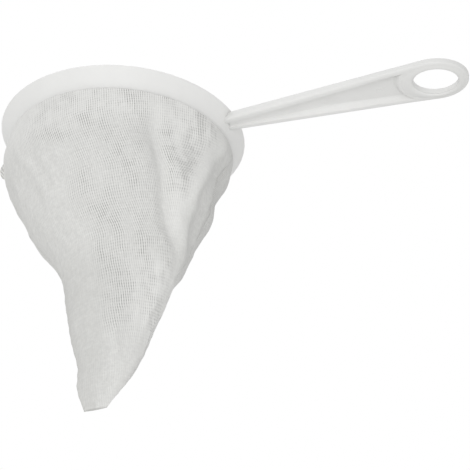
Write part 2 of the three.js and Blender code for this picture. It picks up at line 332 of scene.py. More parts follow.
@dataclass(frozen=True)
class WovenFlannel:
    """Cotton flannel, an open plain weave that is brushed.

    The open fields give how far patches, lumps and slubs open the gaps, and the shade fields give
    how much each pales the cloth. The span fields give the values over which that happens.
    """

    yarn_colour: str = "E7E7E5"
    slack_colour: str = "D2D2D0"
    gap_shade_colour: str = "A8A8A6"
    painted_light_colour: str = "F4F4F2"
    cloth_shade_colour: str = "B4B4B1"
    warp_mm: float = 1.06
    weft_mm: float = 1.36
    wander_mm: float = 9.0
    wander_reach_mm: float = 1.1
    slub_mm: float = 16.0
    slub_span: Span = (0.75, 1.2)
    slub_open: Span = (0.8, 1.3)
    felt_span: Span = (0.36, 0.6)
    patch_mm: Span = (13.0, 32.5)
    patch_open: Span = (0.35, 1.1)
    lump_mm: float = 5.5
    lump_open: Span = (0.45, 1.25)
    nap_mm: float = 1.7
    nap_height: float = 0.6
    crimp: float = 0.22
    weft_gap: Span = (0.6, 0.55)
    slack_relief: float = 0.2
    relief_mm: float = 0.14
    nap_shade: float = 0.55
    slub_shade: float = 0.12
    open_shade: float = 0.12
    lump_shade: float = 0.2
    shade_span: Span = (0.4, 0.72)
    fold_shade_mm: float = 9.0
    fold_shade_ao: Span = (0.5, 0.92)
    fold_shade_share: float = 0.7
    roughness: float = 0.92
    sheen: float = 0.12

    def material(self, grain_map: str, open_map: str, light_shade_map: str) -> bpy.types.Material:
        """Makes the material.

        Args:
            grain_map: UV map that runs along the yarns, in millimetres.
            open_map: attribute that says how far the weave stands open, from 0 to 1.5.
            light_shade_map: attribute of painted light on the cloth, up to 1, and of painted shade, down to
                -1.

        Returns:
            The finish of the bag's cloth.
        """
        # It shows a matt off-white grid of soft yarns with dark gaps where it is stretched, and a
        # fine nap that hides the gaps where it is slack.
        made = empty_material("cotton_flannel_woven")
        tree = made.node_tree
        grain = add_node(tree, "ShaderNodeUVMap", uv_map=grain_map)
        # Yarns wander a little from their lines.
        wander = add_node(tree, "ShaderNodeTexNoise", {
            "Vector": grain, "Scale": 1 / self.wander_mm, "Detail": 2.0}).outputs["Color"]
        moved = add_node(tree, "ShaderNodeVectorMath", {
            0: wander, 1: (self.wander_reach_mm, self.wander_reach_mm, 0.0), 2: grain},
            operation="MULTIPLY_ADD")
        phase = add_node(tree, "ShaderNodeVectorMath", {
            0: moved, 1: (math.pi / self.warp_mm, math.pi / self.weft_mm, 0.0)}, operation="MULTIPLY")
        wave = add_node(tree, "ShaderNodeVectorMath", {0: phase}, operation="SINE")
        crown = add_node(tree, "ShaderNodeVectorMath", {0: wave}, operation="ABSOLUTE")
        hollow = add_node(tree, "ShaderNodeVectorMath", {
            0: (1.0, 1.0, 1.0), 1: crown}, operation="SUBTRACT")
        way = add_node(tree, "ShaderNodeSeparateXYZ", {"Vector": wave})
        low = add_node(tree, "ShaderNodeSeparateXYZ", {"Vector": hollow})
        # Yarns pass over and under each other, and a gap lies where both ways are low.
        crossing = add_node(tree, "ShaderNodeMath", {
            0: way.outputs["X"], 1: way.outputs["Y"]}, operation="MULTIPLY")
        dip = add_node(tree, "ShaderNodeMath", {
            0: low.outputs["X"], 1: low.outputs["Y"]}, operation="MINIMUM")
        relief = add_node(tree, "ShaderNodeMath", {
            0: crossing, 1: self.crimp, 2: 1.0}, operation="MULTIPLY_ADD")
        relief = add_node(tree, "ShaderNodeMath", {0: relief, 1: dip}, operation="SUBTRACT")
        # Pulled from the hoop, the cloth opens more between its upright yarns.
        gap = add_node(tree, "ShaderNodeMath", {
            0: low.outputs["Y"], 1: self.weft_gap[1], 2: self.weft_gap[0]}, operation="MULTIPLY_ADD")
        gap = add_node(tree, "ShaderNodeMath", {0: low.outputs["X"], 1: gap}, operation="MULTIPLY")
        # Thick and thin places run along single yarns both ways.
        slubs = []
        for stretch in ((1 / self.warp_mm, 1 / self.slub_mm, 0.0),
                        (1 / self.slub_mm, 1 / self.weft_mm, 0.0)):
            along = add_node(tree, "ShaderNodeVectorMath", {0: moved, 1: stretch}, operation="MULTIPLY")
            slubs.append(add_node(tree, "ShaderNodeTexNoise", {
                "Vector": along, "Scale": 1.0, "Detail": 1.0}))
        slub = add_node(tree, "ShaderNodeMath", {0: slubs[0], 1: slubs[1]}, operation="ADD")
        # The brushed nap closes the weave in drawn-out patches.
        nap = add_node(tree, "ShaderNodeTexNoise", {
            "Vector": grain, "Scale": 1 / self.nap_mm, "Detail": 5.0, "Roughness": 0.65})
        drawn = add_node(tree, "ShaderNodeVectorMath", {
            0: grain, 1: (1 / self.patch_mm[0], 1 / self.patch_mm[1], 0.0)}, operation="MULTIPLY")
        patch = add_node(tree, "ShaderNodeTexNoise", {
            "Vector": drawn, "Scale": 1.0, "Detail": 3.0, "Roughness": 0.6})
        # Washing felts the nap into lumps, which close the weave in spots and shade it.
        lump = add_node(tree, "ShaderNodeTexNoise", {
            "Vector": grain, "Scale": 1 / self.lump_mm, "Detail": 2.0, "Roughness": 0.6})
        by_patch, by_lump, by_slub = (add_node(tree, "ShaderNodeMapRange", {
            "Value": value, "From Min": span[0], "From Max": span[1],
            "To Min": share[0], "To Max": share[1]})
            for value, span, share in ((patch, self.felt_span, self.patch_open),
                                       (lump, self.felt_span, self.lump_open),
                                       (slub, self.slub_span, self.slub_open)))
        stretched = add_node(tree, "ShaderNodeAttribute", attribute_name=open_map).outputs["Fac"]
        for share in (by_patch, by_lump):
            stretched = add_node(tree, "ShaderNodeMath", {0: stretched, 1: share}, operation="MULTIPLY")
        # The gaps are painted dark. This is painted shade for the bag's shaded inside seen through them.
        seen = add_node(tree, "ShaderNodeMath", {0: gap, 1: stretched}, operation="MULTIPLY")
        seen = add_node(tree, "ShaderNodeMath", {0: seen, 1: by_slub}, operation="MULTIPLY", use_clamp=True)
        shade = add_node(tree, "ShaderNodeMath", {0: nap, 1: self.nap_shade}, operation="MULTIPLY")
        for value, weight in ((slub, self.slub_shade), (stretched, self.open_shade),
                              (lump, self.lump_shade)):
            shade = add_node(tree, "ShaderNodeMath", {
                0: value, 1: weight, 2: shade}, operation="MULTIPLY_ADD")
        shade = add_node(tree, "ShaderNodeMapRange", {
            "Value": shade, "From Min": self.shade_span[0], "From Max": self.shade_span[1]})
        # Painted light: an attribute makes the cloth paler in zones where it looks lit, such as beside the
        # handle.
        painted_light_shade = add_node(tree, "ShaderNodeAttribute", attribute_name=light_shade_map).outputs["Fac"]
        # Painted shade: ambient occlusion greys the folds and the tip, and the attribute greys the lower
        # left.
        dull_shade = add_node(tree, "ShaderNodeMapRange", {
            "Value": painted_light_shade, "From Min": -1.0, "From Max": 0.0, "To Min": 1.0, "To Max": 0.0})
        inner = add_node(tree, "ShaderNodeAmbientOcclusion", {
            "Distance": self.fold_shade_mm * MM}, samples=8, only_local=True)
        cloth_shade = add_node(tree, "ShaderNodeMapRange", {
            "Value": inner.outputs["AO"], "From Min": self.fold_shade_ao[0], "From Max": self.fold_shade_ao[1],
            "To Min": self.fold_shade_share, "To Max": 0.0})
        cloth_shade = add_node(tree, "ShaderNodeMath", {0: cloth_shade, 1: dull_shade}, operation="ADD")
        colour = add_node(tree, "ShaderNodeMix", {
            "Factor": shade, "A": linear(self.slack_colour), "B": linear(self.yarn_colour)},
            data_type="RGBA")
        for share, over in ((painted_light_shade, self.painted_light_colour), (cloth_shade, self.cloth_shade_colour), (seen, self.gap_shade_colour)):
            colour = add_node(tree, "ShaderNodeMix", {
                "Factor": share, "A": colour, "B": linear(over)}, data_type="RGBA")
        depth = add_node(tree, "ShaderNodeMath", {
            0: stretched, 1: 1 - self.slack_relief, 2: self.slack_relief}, operation="MULTIPLY_ADD")
        raised = add_node(tree, "ShaderNodeMath", {0: nap, 1: self.nap_height}, operation="MULTIPLY")
        raised = add_node(tree, "ShaderNodeMath", {
            0: relief, 1: depth, 2: raised}, operation="MULTIPLY_ADD")
        bump = add_node(tree, "ShaderNodeBump", {
            "Height": raised, "Strength": 0.5, "Distance": self.relief_mm * MM})
        shader = add_node(tree, "ShaderNodeBsdfPrincipled", {
            "Base Color": colour, "Roughness": self.roughness, "Sheen Weight": self.sheen,
            "Sheen Roughness": 0.5, "Specular IOR Level": 0.2, "Normal": bump})
        add_node(tree, "ShaderNodeOutputMaterial", {"Surface": shader})
        return made


@dataclass(frozen=True)
class SpunThread:
    """Sewing thread, spun and plied from cotton."""

    colour: str = "EBEBE9"
    ply_shade_colour: str = "C9C9C6"
    ply_mm: float = 1.253
    ply_height_mm: float = 0.08
    roughness: float = 0.85
    sheen: float = 0.15

    def material(self) -> bpy.types.Material:
        """Makes the material.

        Returns:
            The finish of the seams, the hem and the seam's tail.
        """
        # It shows a matt white with the slant of its plies and a little fuzz.
        made = empty_material("cotton_thread_spun")
        tree = made.node_tree
        place = add_node(tree, "ShaderNodeTexCoord").outputs["Object"]
        # Plies lie about 0.5 mm apart. They are drawn coarser, so that they show. A wave of scale 1
        # runs 10 radians for each metre on the three axes together.
        ply = add_node(tree, "ShaderNodeTexWave", {
            "Vector": place, "Scale": FULL_TURN / (10 * math.sqrt(3) * self.ply_mm * MM),
            "Distortion": 2.5, "Detail": 2.0}, wave_type="BANDS", bands_direction="DIAGONAL")
        # The hollows between plies are painted darker, as painted shade.
        colour = add_node(tree, "ShaderNodeMix", {
            "Factor": ply.outputs["Fac"], "A": linear(self.ply_shade_colour), "B": linear(self.colour)},
            data_type="RGBA")
        bump = add_node(tree, "ShaderNodeBump", {
            "Height": ply.outputs["Fac"], "Strength": 0.6, "Distance": self.ply_height_mm * MM})
        shader = add_node(tree, "ShaderNodeBsdfPrincipled", {
            "Base Color": colour, "Roughness": self.roughness, "Sheen Weight": self.sheen, "Normal": bump})
        add_node(tree, "ShaderNodeOutputMaterial", {"Surface": shader})
        return made


@dataclass(frozen=True)
class PaperSweep:
    """Studio paper, matt and uncoated.

    Light and view pass it from below, because the photograph was taken from under the hoop.
    """

    colour: str = "F6F6F5"
    fleck_mm: float = 30.0
    fleck_height_mm: float = 0.1
    lit_share: float = 0.55

    def material(self) -> bpy.types.Material:
        """Makes the material.

        Returns:
            The finish of the floor.
        """
        # It shows an even near-white ground that takes a soft shadow.
        made = empty_material("studio_paper_uncoated")
        tree = made.node_tree
        place = add_node(tree, "ShaderNodeTexCoord").outputs["Object"]
        fleck = add_node(tree, "ShaderNodeTexNoise", {
            "Vector": place, "Scale": 1 / (self.fleck_mm * MM), "Detail": 4.0})
        bump = add_node(tree, "ShaderNodeBump", {
            "Height": fleck, "Strength": 0.1, "Distance": self.fleck_height_mm * MM})
        paper = add_node(tree, "ShaderNodeBsdfDiffuse", {"Color": linear(self.colour), "Normal": bump})
        white = add_node(tree, "ShaderNodeEmission", {"Color": linear(self.colour), "Strength": 1.0})
        share = add_node(tree, "ShaderNodeMath", {
            0: rays_that_show(tree), 1: self.lit_share}, operation="MULTIPLY")
        paper = add_node(tree, "ShaderNodeMixShader", {0: share, 1: paper, 2: white})
        clear = add_node(tree, "ShaderNodeBsdfTransparent")
        under = add_node(tree, "ShaderNodeNewGeometry").outputs["Backfacing"]
        mixed = add_node(tree, "ShaderNodeMixShader", {0: under, 1: paper, 2: clear})
        add_node(tree, "ShaderNodeOutputMaterial", {"Surface": mixed})
        return made


@dataclass
class Moulding:
    """The hoop with its handle and hang eye, and the clamp ring in it.

    Places along the handle count from the hoop's centre. A span of the handle or the run-out gives
    both ends, and one of the eye gives the size along the handle and the other one.
    """

    round_limit: float = math.radians(40)
    weld_mm: float = 0.002
    web_mm: float = 1.4
    handle_mm: Span = (60.3, 144.7)
    handle_thick_mm: Span = (5.0, 3.6)
    pin_radius_mm: float = 1.6
    pin_height_mm: float = 0.14
    pin_corners: int = 24
    pin_places_mm: tuple[Span, ...] = ((134.0, 0.6),)
    # Shares of the pin mark's radius and height, from its root in the web to its dished middle.
    pin_profile: tuple[Span, ...] = (
        (1.0, 0.3), (1.0, -0.6), (0.9, -1.0), (0.72, -1.0), (0.66, -0.75), (0.3, -0.7))
    runout_mm: Span = (57.4, 118.0)
    runout_depth_mm: Span = (0.7, 3.7)
    runout_half_mm: float = 2.5
    runout_spread: float = 0.0961
    runout_hollow: float = 0.45
    runout_least_mm: float = 0.1
    runout_rows: int = 28
    root_mm: float = 0.3
    hoop_slope: float = 0.83
    hoop_middle_mm: float = 2.4
    eye_mm: Span = (161.0, -3.6)
    hole_shift_mm: float = 0.7
    hole_half_mm: Span = (10.75, 9.5)
    rim_half_mm: Span = (14.8, 12.4)
    rim_back_mm: float = 15.9
    rim_crown_mm: float = 0.55
    rim_sunk_mm: float = 0.03
    rim_skew: float = 0.6
    rim_sections: int = 96
    section_points: int = 13

    def smooth(self, node: bpy.types.Object) -> None:
        """Shades a CAD node smoothly over its eased edges, by modifiers alone.

        Args:
            node: CAD node, whose own mesh stays as it is.
        """
        group = bpy.data.node_groups.new(f"{node.name}_rounding", "GeometryNodeTree")
        for way in ("INPUT", "OUTPUT"):
            group.interface.new_socket("Geometry", in_out=way, socket_type="NodeSocketGeometry")
        source = add_node(group, "NodeGroupInput")
        welded = add_node(group, "GeometryNodeMergeByDistance", {
            "Geometry": source, "Distance": self.weld_mm * MM})
        faces = add_node(group, "GeometryNodeSetShadeSmooth", {
            "Geometry": welded, "Shade Smooth": True}, domain="FACE")
        angle = add_node(group, "GeometryNodeInputMeshEdgeAngle")
        round_edge = add_node(group, "FunctionNodeCompare", {
            "A": angle, "B": self.round_limit}, data_type="FLOAT", operation="LESS_THAN")
        edges = add_node(group, "GeometryNodeSetShadeSmooth", {
            "Geometry": faces, "Shade Smooth": round_edge}, domain="EDGE")
        add_node(group, "NodeGroupOutput", {0: edges})
        node.modifiers.new("rounding", "NODES").node_group = group
        node.modifiers.new("face_weight", "WEIGHTED_NORMAL").keep_sharp = True

    def dress(self, finish: bpy.types.Material) -> list[bpy.types.Object]:
        """Gives both carried-over nodes their finish and smooth shading.

        Args:
            finish: material of the moulding.

        Returns:
            The two nodes.
        """
        nodes = [frame["nodes"][name] for name in ("hoop_handle", "clamp_ring")]
        for node in nodes:
            node.data.materials.clear()
            node.data.materials.append(finish)
            self.smooth(node)
        return nodes

    def ejector_marks(self) -> MeshParts:
        """Shapes the low round marks that the tool's ejector pins leave under the web.

        Returns:
            Vertices and faces of all marks.
        """
        turn = np.arange(self.pin_corners) * FULL_TURN / self.pin_corners
        parts = []
        for x, y in self.pin_places_mm:
            sections = []
            for share, rise in self.pin_profile:
                radius = self.pin_radius_mm * share
                height = np.full_like(turn, self.pin_height_mm * rise - self.web_mm)
                sections.append(np.stack([x + radius * np.cos(turn), y + radius * np.sin(turn), height], -1))
            parts.append(bar(np.array(sections) * MM))
        return joined(parts)

    def channel_runout(self) -> MeshParts:
        """Shapes the channel's soft run-out, which makes it shallower towards the hoop.

        Returns:
            Vertices and faces of the run-out.
        """
        start, end = self.runout_mm
        across = np.linspace(-1, 1, self.section_points)
        top = np.full_like(across, self.root_mm - self.web_mm)
        sections = []
        for x in np.linspace(start, end, self.runout_rows):
            wide = self.runout_half_mm + self.runout_spread * (x - self.handle_mm[0])
            thickness = np.interp(x, self.handle_mm, self.handle_thick_mm)
            depth = np.interp(x, self.runout_mm, self.runout_depth_mm)
            below = depth - thickness - self.runout_hollow * depth * across**2
            height = np.concatenate([np.minimum(below, top - self.runout_least_mm), top])
            # The first section leans with the hoop's wall and lies inside it.
            lean = (end - x) / (end - start) * self.hoop_slope * (height + self.hoop_middle_mm)
            sections.append(np.stack([x + lean, np.concatenate([across, across[::-1]]) * wide, height], -1))
        return bar(np.array(sections) * MM)

    def eye_rim(self) -> MeshParts:
        """Shapes the eye's rounded rim, which stands a little proud round the hang hole.

        Returns:
            Vertices and faces of the rim.
        """
        turn = np.linspace(0, FULL_TURN, self.rim_sections, endpoint=False)[:, None]
        cosine, sine = np.cos(turn), np.sin(turn)
        centre, level = self.eye_mm
        out = np.linspace(1, 0, self.section_points)
        height = level + self.rim_sunk_mm - self.rim_crown_mm * np.sin(math.pi * out**self.rim_skew)
        # Two corners inside the eye close each section.
        out = np.concatenate([out, [0, 1]])
        height = np.concatenate([height, [level + self.root_mm] * 2])
        inner_x = centre + self.hole_shift_mm + self.hole_half_mm[0] * cosine
        outer_x = centre + np.where(cosine > 0, self.rim_half_mm[0], self.rim_back_mm) * cosine
        inner_y, outer_y = self.hole_half_mm[1] * sine, self.rim_half_mm[1] * sine
        x = inner_x + (outer_x - inner_x) * out
        y = inner_y + (outer_y - inner_y) * out
        return bar(np.stack([x, y, np.broadcast_to(height, x.shape)], -1) * MM, True)

    def build(self, finish: bpy.types.Material) -> list[bpy.types.Object]:
        """Builds the details that lie on the moulding.

        Args:
            finish: material of the moulding.

        Returns:
            The pieces.
        """
        pieces = []
        for name, shape in (("ejector_marks", self.ejector_marks), ("channel_runout", self.channel_runout),
                            ("eye_rim", self.eye_rim)):
            piece = piece_from(name, shape(), finish)
            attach(piece, "frame")
            pieces.append(piece)
        return pieces


class FoldForm(Enum):
    """How a fold's section runs, as its steepness on the sides of falling and rising azimuth."""

    SOFT = (1.0, 1.0)
    LAP = (0.8, 3.2)


@dataclass(frozen=True)
class Fold:
    """One fold of the cloth.

    Its line is in millimetres of depth and degrees of azimuth, its height and width in millimetres.
    A lap falls off steeply on the side of rising azimuth, and with a negative width on the other.
    """

    line: tuple[Span, ...]
    height: float
    width: float
    form: FoldForm = FoldForm.SOFT

    def azimuth(self, depth: np.ndarray) -> np.ndarray:
        """Gives the fold's azimuth at depths, which stays the same beyond the ends of its line."""
        places, turns = np.array(self.line, float).T
        return smooth_through(places, turns, np.clip(depth, places[0], places[-1]))

    def lift(self, azimuth: np.ndarray, depth: np.ndarray, radius: np.ndarray) -> np.ndarray:
        """Gives how far the fold moves the cloth outwards.

        Args:
            azimuth: degrees round the hoop's axis.
            depth: millimetres below the hoop's top edge.
            radius: the bag's half width there, in millimetres.

        Returns:
            The movement at each point, in millimetres.
        """
        start, end = self.line[0][0], self.line[-1][0]
        along = np.clip((depth - start) / (end - start), 0, 1)
        away = np.radians(wrapped(azimuth - self.azimuth(depth))) * radius / self.width
        falling_side, rising_side = self.form.value
        section = np.exp(-(np.where(away > 0, rising_side, falling_side) * away) ** 2)
        return self.height * np.sin(math.pi * along) * section


@dataclass(frozen=True)
class Station:
    """The bag's section at a depth, in millimetres: half width, offset and half depth."""

    depth: float
    half_width: float
    offset: float
    half_depth: float


class Panel(Enum):
    """The two panels of cloth, with the way each runs from the right-hand seam."""

    FRONT = -1
    BACK = 1


# Sections from the clamp down to the tip. Widths and offsets follow the bag's outline in the photograph.
STATIONS = (
    Station(1.9, 50.35, 0.0, 50.35),
    Station(8.8, 50.35, 0.0, 50.35),
    Station(16.0, 50.8, -0.8, 50.7),
    Station(24.0, 50.0, -2.4, 50.4),
    Station(31.0, 48.8, -2.2, 49.6),
    Station(38.0, 48.3, -0.7, 48.1),
    Station(45.0, 46.6, 1.1, 45.8),
    Station(52.0, 43.7, 1.3, 42.6),
    Station(59.0, 40.2, 1.0, 38.6),
    Station(66.0, 35.8, 2.4, 33.8),
    Station(73.0, 31.8, 4.4, 29.0),
    Station(80.0, 27.6, 4.5, 24.8),
    Station(88.0, 25.1, 4.7, 21.2),
    Station(97.0, 22.9, 4.5, 18.2),
    Station(107.0, 20.2, 3.9, 15.2),
    Station(118.0, 17.5, 3.7, 11.9),
    Station(130.0, 13.4, 3.6, 8.4),
    Station(142.0, 9.8, 1.1, 4.4),
    Station(152.0, 5.2, 0.3, 0.62),
)

# The two long folds that run down the front, between which the cloth gets painted light.
LAP_FOLD = Fold(
    ((10, -51), (25, -47), (38, -46), (58, -37), (69, -28), (75, -16), (84, 4)), 1.7, 9, FoldForm.LAP)
RIDGE_FOLD = Fold(
    ((10, 1), (20, 0), (28, -5), (35, -9), (43, -14), (50, -15), (54, -13), (62, -11), (69, -5), (76, 3),
     (86, 14)), 4.2, 17, FoldForm.LAP)
FOLDS = (
    LAP_FOLD,
    Fold(((14, -48), (25, -45), (37, -43), (46, -41), (54, -36), (61, -32), (71, -22), (76, -8), (84, 10)),
         -2.8, 4.5),
    Fold(((10, -26), (22, -23), (38, -20), (50, -18), (62, -14)), -1.3, 7),
    RIDGE_FOLD,
    Fold(((10, 21), (26, 15), (36, 12), (46, 11), (60, 18)), -4.4, -9, FoldForm.LAP),
    Fold(((10, 66), (24, 53), (36, 46), (66, 46)), -4.5, 13),
    # Short creases below the hoop on the left.
    Fold(((26, -127), (35, -123), (41, -119), (47, -116), (58, -111)), 1.4, 2.6),
    Fold(((22, -114), (33, -114), (42, -112), (54, -107)), -0.9, 3),
    Fold(((34, -134), (47, -143), (58, -147)), 1.0, 3.5),
    Fold(((40, -128), (50, -124), (60, -121)), -0.8, 3),
    # Broad folds of the back, which the photograph doesn't show.
    Fold(((16, 95), (90, 75)), -4.0, 9),
    Fold(((14, 140), (90, 120)), 3.0, 9),
)


class Measure(Enum):
    """What a soft limit on the cloth is measured by."""

    AZIMUTH = "degrees round the hoop's axis"
    PAST_LEFT = "degrees past the left edge of the open front"
    PAST_RIGHT = "degrees past the right edge of the open front"
    PAST_LAP = "degrees past the lap"
    PAST_RIDGE = "degrees past the ridge"
    PATCH = "height of a slow wave over the back, and its lowest on the front"
    FROM_SEAM = "radians from the right-hand seam, either way"
    DEPTH = "millimetres below the hoop's top edge"


@dataclass(frozen=True)
class Zone:
    """A part of the cloth with its share of a quality.

    Each soft limit is a measure, the value at which it leaves nothing and the one at which it leaves all.
    """

    share: float
    limits: tuple[tuple[Measure, float, float], ...] = ()

    def over(self, measures: dict[Measure, np.ndarray]) -> np.ndarray:
        """Gives the zone's share at places that are given by all their measures."""
        return self.share * math.prod(rising(measures[kind], none, full) for kind, none, full in self.limits)


OPEN_ZONES = (
    Zone(0.2),
    # Stretched cloth over the front, and beside the lap.
    Zone(1.0, ((Measure.PAST_LEFT, -12, 8), (Measure.PAST_RIGHT, 4, -6), (Measure.DEPTH, 124, 106))),
    Zone(1.25, ((Measure.PAST_LAP, 4, 10), (Measure.PAST_RIDGE, -3, -12), (Measure.DEPTH, 64, 46))),
    # Under the hoop on the left.
    Zone(0.4, ((Measure.AZIMUTH, -128, -112), (Measure.AZIMUTH, -86, -100), (Measure.DEPTH, 40, 26))),
    # Patches of the back.
    Zone(0.7, ((Measure.PATCH, 0.1, 1.2),)),
)
# The pull on the cloth at each depth, by which all of it opens more or less.
PULL_ZONES = (
    Zone(0.8),
    Zone(0.2, ((Measure.DEPTH, 22, 40),)),
    Zone(-0.15, ((Measure.DEPTH, 60, 90),)),
)
BETWEEN_FOLDS = ((Measure.PAST_LAP, 0, 18), (Measure.PAST_RIDGE, 5, 0), (Measure.DEPTH, 80, 66))
BESIDE_HANDLE = ((Measure.AZIMUTH, -60, -15), (Measure.AZIMUTH, 90, 60), (Measure.DEPTH, 74, 86),
                 (Measure.DEPTH, 124, 104))
# Zones of painted light on the cloth. A negative share is painted shade.
LIGHT_SHADE_ZONES = (
    Zone(0.195, BETWEEN_FOLDS),
    Zone(0.455, BETWEEN_FOLDS + ((Measure.PAST_RIDGE, 2, -16),)),
    Zone(0.7, BESIDE_HANDLE),
    Zone(0.25, BESIDE_HANDLE + ((Measure.AZIMUTH, 14, 40),)),
    # Painted light under the hoop.
    Zone(0.4, ((Measure.DEPTH, 34, 18), (Measure.PAST_LAP, 14, 0))),
    # Painted light on the tip's right, and painted shade on the left of the lower bag.
    Zone(0.22, ((Measure.FROM_SEAM, 1.25, 0.6), (Measure.DEPTH, 110, 126))),
    Zone(-0.25, ((Measure.FROM_SEAM, 1.25, 1.9), (Measure.DEPTH, 70, 94))),
)


@dataclass
class FilterBag:
    """The bag's two panels of flannel. Depths count down from the hoop's top edge."""

    depth_mm: float = 152.0
    top_mm: float = 1.9
    hoop_edge_mm: float = 8.8
    cloth_mm: float = 0.55
    seam_turn: float = math.radians(17)
    grain_turn: float = math.radians(-12)
    columns: int = 110
    rows: int = 150
    clamp_rows: int = 6
    edge_rows: int = 14
    edge_run_mm: float = 1.3
    row_gap_mm: float = 0.1
    row_bias: float = 0.05
    # Heights of the wrinkles, and their sizes across the cloth and down it.
    wrinkle_mm: float = 0.9
    wrinkle_size_mm: Span = (9, 34)
    wrinkle_level: float = 0.6
    crinkle_mm: float = 0.25
    crinkle_size_mm: Span = (4, 11)
    wrinkle_end_mm: Span = (26, 136)
    tuck_mm: float = 4.6
    tuck_run_mm: Span = (-0.05, 1.2)
    tuck_end_mm: float = 60.0
    pucker_mm: float = 0.14
    pucker_pitch_mm: float = 5.5
    pucker_reach_mm: float = 5.0
    seam_pinch_mm: float = 0.12
    pinch_reach_mm: float = 2.0
    sewn_end_mm: Span = (20, 140)
    tip_flatness: float = 0.5
    flat_from_mm: float = 90.0
    tip_slant_mm: float = 2.2
    slant_from_mm: float = 128.0
    cut: Span = (0.182, 0.172)
    # The cut's area is this much larger than the panel's, for what the seams take up.
    cut_margin: float = 1.01
    # Azimuths of the open front's edges. A step is a height and the depths between which it is climbed.
    open_left: float = -106.0
    open_left_steps: tuple[tuple[float, float, float], ...] = ((20, 29, 40), (-4, 46, 60), (6, 60, 110))
    open_past_lap: float = 2.0
    open_past_lap_step: tuple[float, float, float] = (6, 80, 100)
    open_most: float = 1.5
    patch_waves: float = 2.0
    patch_turn: float = 40.0
    patch_sway: float = 0.4
    patch_sway_mm: float = 13.0
    back_middle: float = 110.0
    back_half: float = 90.0
    crest_highlight: float = 0.15
    crest_past_ridge: float = -1.0
    crest_width: float = 3.5
    crest_end_mm: Span = (44, 62)
    grain_map: str = "yarn_mm"
    open_map: str = "weave_open"
    light_shade_map: str = "cloth_light_shade"

    def section(self, depth: np.ndarray) -> tuple[np.ndarray, np.ndarray, np.ndarray]:
        """Gives half width, offset and half depth, in millimetres, at depths."""
        places = np.array([s.depth for s in STATIONS])
        return tuple(smooth_through(places, np.array([getattr(s, name) for s in STATIONS]), depth)
                     for name in ("half_width", "offset", "half_depth"))

    def azimuth(self, side: np.ndarray) -> np.ndarray:
        """Turns angles from the right-hand seam, in radians, to degrees round the hoop's axis."""
        return wrapped(np.degrees(side + self.seam_turn))

    def wrinkles(self, side: np.ndarray, depth: np.ndarray, wide: np.ndarray) -> np.ndarray:
        """Gives how far the small wrinkles of slack cloth move it outwards.

        Args:
            side: angle from the right-hand seam, in radians, negative over the front.
            depth: millimetres below the hoop's top edge.
            wide: the bag's half width there, in millimetres.

        Returns:
            The movement in millimetres.
        """
        slow = np.empty(side.size)
        quick = np.empty(side.size)
        across, along = self.wrinkle_size_mm
        fine_across, fine_along = self.crinkle_size_mm
        # Any shift does that keeps the fine noise from following the slow one.
        shift = Vector((3.7, 1.3, 0))
        for at, (angle, down, reach) in enumerate(zip(side.flat, depth.flat, wide.flat)):
            spot = Vector((math.cos(angle) * reach, math.sin(angle) * reach, 0))
            slow[at] = noise.noise(spot / across + Vector((0, 0, down / along)))
            quick[at] = noise.noise(spot / fine_across + Vector((0, 0, down / fine_along)) + shift)
        ridged = self.wrinkle_mm * (self.wrinkle_level - np.abs(slow))
        return (ridged + self.crinkle_mm * quick).reshape(side.shape)

    def moved(self, side: np.ndarray, depth: np.ndarray, wide: np.ndarray) -> np.ndarray:
        """Gives how far folds, wrinkles and seam puckers move the cloth outwards.

        Args:
            side: angle from the right-hand seam, in radians, negative over the front.
            depth: millimetres below the hoop's top edge.
            wide: the bag's half width there, in millimetres.

        Returns:
            The movement in millimetres.
        """
        edge, end = self.hoop_edge_mm, self.depth_mm
        lift = sum(fold.lift(self.azimuth(side), depth, wide) for fold in FOLDS)
        free = rising(depth, edge, self.wrinkle_end_mm[0]) * falling(depth, self.wrinkle_end_mm[1], end)
        lift = lift + free * self.wrinkles(side, depth, wide)
        from_seam = np.abs((side + math.pi / 2) % math.pi - math.pi / 2) * wide
        sewn = rising(depth, edge, self.sewn_end_mm[0]) * falling(depth, self.sewn_end_mm[1], end)
        pucker = self.pucker_mm * np.sin(FULL_TURN * depth / self.pucker_pitch_mm)
        pucker = pucker * np.exp(-(from_seam / self.pucker_reach_mm) ** 2)
        pinch = self.seam_pinch_mm * np.exp(-(from_seam / self.pinch_reach_mm) ** 2)
        # Out of the clamp the cloth swells over the hoop's lower edge.
        start, full = (edge + run for run in self.tuck_run_mm)
        tuck = self.tuck_mm * rising(depth, start, full) * falling(depth, full, self.tuck_end_mm)
        return lift + tuck + sewn * (pucker - pinch)

    def surface(self, side: np.ndarray, depth: np.ndarray, inset: float = 0.0) -> np.ndarray:
        """Gives points of the cloth's outer face.

        Args:
            side: angle from the right-hand seam, in radians, negative over the front.
            depth: millimetres below the hoop's top edge.
            inset: millimetres inside the outer face.

        Returns:
            Points in metres, with the coordinates last.
        """
        side, depth = np.broadcast_arrays(np.asarray(side, float), np.asarray(depth, float))
        wide, offset, deep = self.section(depth)
        lift = self.moved(side, depth, wide) - inset
        flat = 1 + self.tip_flatness * rising(depth, self.flat_from_mm, self.depth_mm)
        cosine, sine = np.cos(side), np.sin(side)
        x = offset + (wide + lift) * cosine
        y = (deep + lift) * np.sign(sine) * np.abs(sine) ** flat
        slant = self.tip_slant_mm * (0.5 + 0.5 * cosine) * rising(depth, self.slant_from_mm, self.depth_mm)
        turn = self.seam_turn
        return np.stack([x * math.cos(turn) - y * math.sin(turn),
                         x * math.sin(turn) + y * math.cos(turn), slant - depth], -1) * MM

